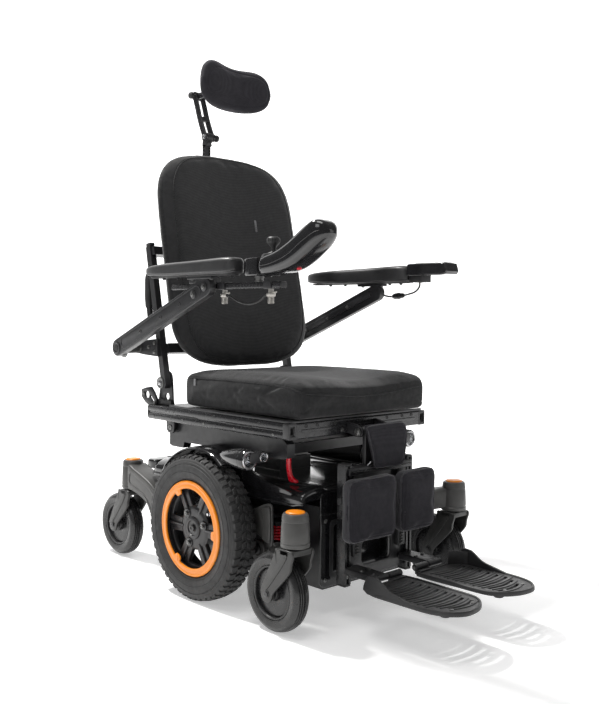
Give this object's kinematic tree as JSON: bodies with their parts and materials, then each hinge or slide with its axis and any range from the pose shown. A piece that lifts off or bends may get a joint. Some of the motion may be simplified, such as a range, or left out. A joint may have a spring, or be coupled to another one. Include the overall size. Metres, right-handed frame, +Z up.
{
  "type": "power wheelchair",
  "caption": "Mid-wheel-drive power wheelchair with suspended casters, seat lift and tilt, reclining back, headrest, joystick arm and elevating centre legrest.",
  "frame": {"origin": "bottom centre of the object's box, on the floor between the wheels", "axes": "+Z up, -Y to the front, +X to the occupant's left"},
  "size_m": [0.652, 1.262, 1.388],
  "materials": {
    "black_paint": "satin",
    "battery_case": "matte",
    "gloss_black": "gloss",
    "motor_black": "satin",
    "steel": "brushed",
    "tyre_rubber": "matte",
    "orange_trim": "gloss",
    "grey_satin": "satin",
    "red_metal": "gloss",
    "lamp_black": "gloss",
    "seat_fabric": "woven",
    "headrest_fabric": "knit",
    "moulded_plastic": "textured",
    "pad_skin": "satin",
    "soft_rubber": "matte"
  },
  "bodies": {
    "chassis": {"chassis_frame": "black_paint", "battery_front": "battery_case", "battery_rear": "battery_case", "control_module": "gloss_black", "base_shroud": "gloss_black", "drive_motor_left": "motor_black", "drive_motor_right": "motor_black", "lift_outer": "black_paint", "front_spring_left": "red_metal", "front_spring_right": "red_metal"},
    "lift_stage": {"lift_mid": "steel"},
    "carriage": {"lift_carriage": "black_paint", "headlight_left": "lamp_black", "headlight_right": "lamp_black"},
    "release_lever": {"release_lever": "red_metal"},
    "seat": {"seat_frame": "black_paint", "seat_cushion": "seat_fabric"},
    "back": {"back_frame": "black_paint", "back_shell": "moulded_plastic", "back_cushion": "seat_fabric", "headrest_mount": "black_paint"},
    "headrest_post": {"headrest_stem": "black_paint"},
    "headrest_arm": {"headrest_link": "black_paint"},
    "headrest": {"headrest_pad": "headrest_fabric"},
    "arm_left": {"arm_link_left": "black_paint", "arm_pad_left": "pad_skin", "switch_box": "gloss_black", "switch_lead": "soft_rubber", "lead_connector": "soft_rubber"},
    "arm_right": {"arm_link_right": "black_paint", "arm_pad_right": "pad_skin", "joystick_rail": "black_paint", "joystick_lead": "soft_rubber"},
    "pod": {"control_pod": "gloss_black"},
    "joystick_gimbal": {"joystick_boot": "soft_rubber"},
    "joystick": {"joystick_knob": "soft_rubber"},
    "legrest": {"leg_column": "black_paint", "knee_flap": "headrest_fabric"},
    "calf_left": {"calf_pad_left": "headrest_fabric"},
    "calf_right": {"calf_pad_right": "headrest_fabric"},
    "foot_left": {"footplate_left": "moulded_plastic"},
    "foot_right": {"footplate_right": "moulded_plastic"},
    "drive_wheel_left": {"drive_tyre_left": "tyre_rubber", "drive_hub_left": "black_paint", "rim_ring_left": "orange_trim"},
    "front_arm_left": {"front_arm_left": "grey_satin"},
    "front_fork_left": {"front_fork_left": "black_paint"},
    "front_caster_left": {"front_caster_wheel_left": "tyre_rubber"},
    "rear_arm_left": {"rear_arm_left": "grey_satin"},
    "rear_fork_left": {"rear_fork_left": "black_paint"},
    "rear_caster_left": {"rear_caster_wheel_left": "tyre_rubber"},
    "drive_wheel_right": {"drive_tyre_right": "tyre_rubber", "drive_hub_right": "black_paint", "rim_ring_right": "orange_trim"},
    "front_arm_right": {"front_arm_right": "grey_satin"},
    "front_fork_right": {"front_fork_right": "black_paint"},
    "front_caster_right": {"front_caster_wheel_right": "tyre_rubber"},
    "rear_arm_right": {"rear_arm_right": "grey_satin"},
    "rear_fork_right": {"rear_fork_right": "black_paint"},
    "rear_caster_right": {"rear_caster_wheel_right": "tyre_rubber"}
  },
  "joints": [
    {"name": "drive_spin_left", "type": "hinge", "parent": "chassis", "child": "drive_wheel_left", "pos_m": [0.27, 0.06, 0.178], "axis": [1, 0, 0], "continuous": true},
    {"name": "front_arm_swing_left", "type": "hinge", "parent": "chassis", "child": "front_arm_left", "pos_m": [0.178, -0.08, 0.14], "axis": [-1, 0, 0], "range_deg": [0, 8], "stiffness_Nm_per_rad": 400, "springref_deg": -11.46, "deforming": ["front_spring_left"]},
    {"name": "front_swivel_left", "type": "hinge", "parent": "front_arm_left", "child": "front_fork_left", "pos_m": [0.28, -0.291, 0.2], "axis": [0, 0, 1], "continuous": true},
    {"name": "front_caster_spin_left", "type": "hinge", "parent": "front_fork_left", "child": "front_caster_left", "pos_m": [0.28, -0.235, 0.089], "axis": [1, 0, 0], "continuous": true},
    {"name": "rear_arm_swing_left", "type": "hinge", "parent": "chassis", "child": "rear_arm_left", "pos_m": [0.19, 0.316, 0.108], "axis": [1, 0, 0], "range_deg": [0, 8], "stiffness_Nm_per_rad": 500, "springref_deg": -14.32},
    {"name": "rear_swivel_left", "type": "hinge", "parent": "rear_arm_left", "child": "rear_fork_left", "pos_m": [0.19, 0.486, 0.2], "axis": [0, 0, 1], "continuous": true},
    {"name": "rear_caster_spin_left", "type": "hinge", "parent": "rear_fork_left", "child": "rear_caster_left", "pos_m": [0.19, 0.542, 0.089], "axis": [1, 0, 0], "continuous": true},
    {"name": "drive_spin_right", "type": "hinge", "parent": "chassis", "child": "drive_wheel_right", "pos_m": [-0.27, 0.06, 0.178], "axis": [1, 0, 0], "continuous": true},
    {"name": "front_arm_swing_right", "type": "hinge", "parent": "chassis", "child": "front_arm_right", "pos_m": [-0.178, -0.08, 0.14], "axis": [-1, 0, 0], "range_deg": [0, 8], "stiffness_Nm_per_rad": 400, "springref_deg": -11.46, "deforming": ["front_spring_right"]},
    {"name": "front_swivel_right", "type": "hinge", "parent": "front_arm_right", "child": "front_fork_right", "pos_m": [-0.28, -0.291, 0.2], "axis": [0, 0, 1], "continuous": true},
    {"name": "front_caster_spin_right", "type": "hinge", "parent": "front_fork_right", "child": "front_caster_right", "pos_m": [-0.28, -0.235, 0.089], "axis": [1, 0, 0], "continuous": true},
    {"name": "rear_arm_swing_right", "type": "hinge", "parent": "chassis", "child": "rear_arm_right", "pos_m": [-0.19, 0.316, 0.108], "axis": [1, 0, 0], "range_deg": [0, 8], "stiffness_Nm_per_rad": 500, "springref_deg": -14.32},
    {"name": "rear_swivel_right", "type": "hinge", "parent": "rear_arm_right", "child": "rear_fork_right", "pos_m": [-0.19, 0.486, 0.2], "axis": [0, 0, 1], "continuous": true},
    {"name": "rear_caster_spin_right", "type": "hinge", "parent": "rear_fork_right", "child": "rear_caster_right", "pos_m": [-0.19, 0.542, 0.089], "axis": [1, 0, 0], "continuous": true},
    {"name": "lift_lower", "type": "slide", "parent": "chassis", "child": "lift_stage", "axis": [0, 0, 1], "range_m": [0, 0.15]},
    {"name": "lift_upper", "type": "slide", "parent": "lift_stage", "child": "carriage", "axis": [0, 0, 1], "range_m": [0, 0.15]},
    {"name": "release_lever_pull", "type": "hinge", "parent": "carriage", "child": "release_lever", "pos_m": [-0.171, -0.156, 0.38], "axis": [-1, 0, 0], "range_deg": [0, 30], "stiffness_Nm_per_rad": 0.3},
    {"name": "seat_tilt", "type": "hinge", "parent": "carriage", "child": "seat", "pos_m": [0, 0.265, 0.398], "axis": [-1, 0, 0], "range_deg": [0, 50]},
    {"name": "back_recline", "type": "hinge", "parent": "seat", "child": "back", "pos_m": [0, 0.292, 0.515], "axis": [-1, 0, 0], "range_deg": [0, 50]},
    {"name": "headrest_height", "type": "slide", "parent": "back", "child": "headrest_post", "axis": [0, 0, 1], "range_m": [0, 0.06]},
    {"name": "headrest_link_tilt", "type": "hinge", "parent": "headrest_post", "child": "headrest_arm", "pos_m": [0, 0.388, 1.207], "axis": [-1, 0, 0], "range_deg": [-20, 20]},
    {"name": "headrest_pad_tilt", "type": "hinge", "parent": "headrest_arm", "child": "headrest", "pos_m": [0, 0.436, 1.331], "axis": [-1, 0, 0], "range_deg": [-20, 20]},
    {"name": "arm_flip_left", "type": "hinge", "parent": "back", "child": "arm_left", "pos_m": [0.298, 0.384, 0.607], "axis": [-1, 0, 0], "range_deg": [0, 95]},
    {"name": "arm_flip_right", "type": "hinge", "parent": "back", "child": "arm_right", "pos_m": [-0.298, 0.384, 0.607], "axis": [-1, 0, 0], "range_deg": [0, 95]},
    {"name": "pod_swing", "type": "hinge", "parent": "arm_right", "child": "pod", "pos_m": [-0.27, -0.155, 0.79], "axis": [0, 0, -1], "range_deg": [0, 85]},
    {"name": "joystick_fore_aft", "type": "hinge", "parent": "pod", "child": "joystick_gimbal", "pos_m": [-0.27, -0.202, 0.824], "axis": [1, 0, 0], "range_deg": [-18, 18], "stiffness_Nm_per_rad": 0.5},
    {"name": "joystick_side", "type": "hinge", "parent": "joystick_gimbal", "child": "joystick", "pos_m": [-0.27, -0.202, 0.824], "axis": [0, 1, 0], "range_deg": [-18, 18], "stiffness_Nm_per_rad": 0.5},
    {"name": "legrest_elevate", "type": "hinge", "parent": "seat", "child": "legrest", "pos_m": [0, -0.262, 0.425], "axis": [-1, 0, 0], "range_deg": [0, 70]},
    {"name": "calf_pad_tilt_left", "type": "hinge", "parent": "legrest", "child": "calf_left", "pos_m": [0.079, -0.312, 0.264], "axis": [-1, 0, 0], "range_deg": [-12, 12]},
    {"name": "footplate_flip_left", "type": "hinge", "parent": "legrest", "child": "foot_left", "pos_m": [0.09, -0.372, 0.112], "axis": [-1, 0, 0], "range_deg": [0, 88]},
    {"name": "calf_pad_tilt_right", "type": "hinge", "parent": "legrest", "child": "calf_right", "pos_m": [-0.079, -0.312, 0.264], "axis": [-1, 0, 0], "range_deg": [-12, 12]},
    {"name": "footplate_flip_right", "type": "hinge", "parent": "legrest", "child": "foot_right", "pos_m": [-0.09, -0.372, 0.112], "axis": [-1, 0, 0], "range_deg": [0, 88]}
  ],
  "couplings": [
    {"joint": "lift_upper", "follows": "lift_lower", "ratio": 1}
  ]
}
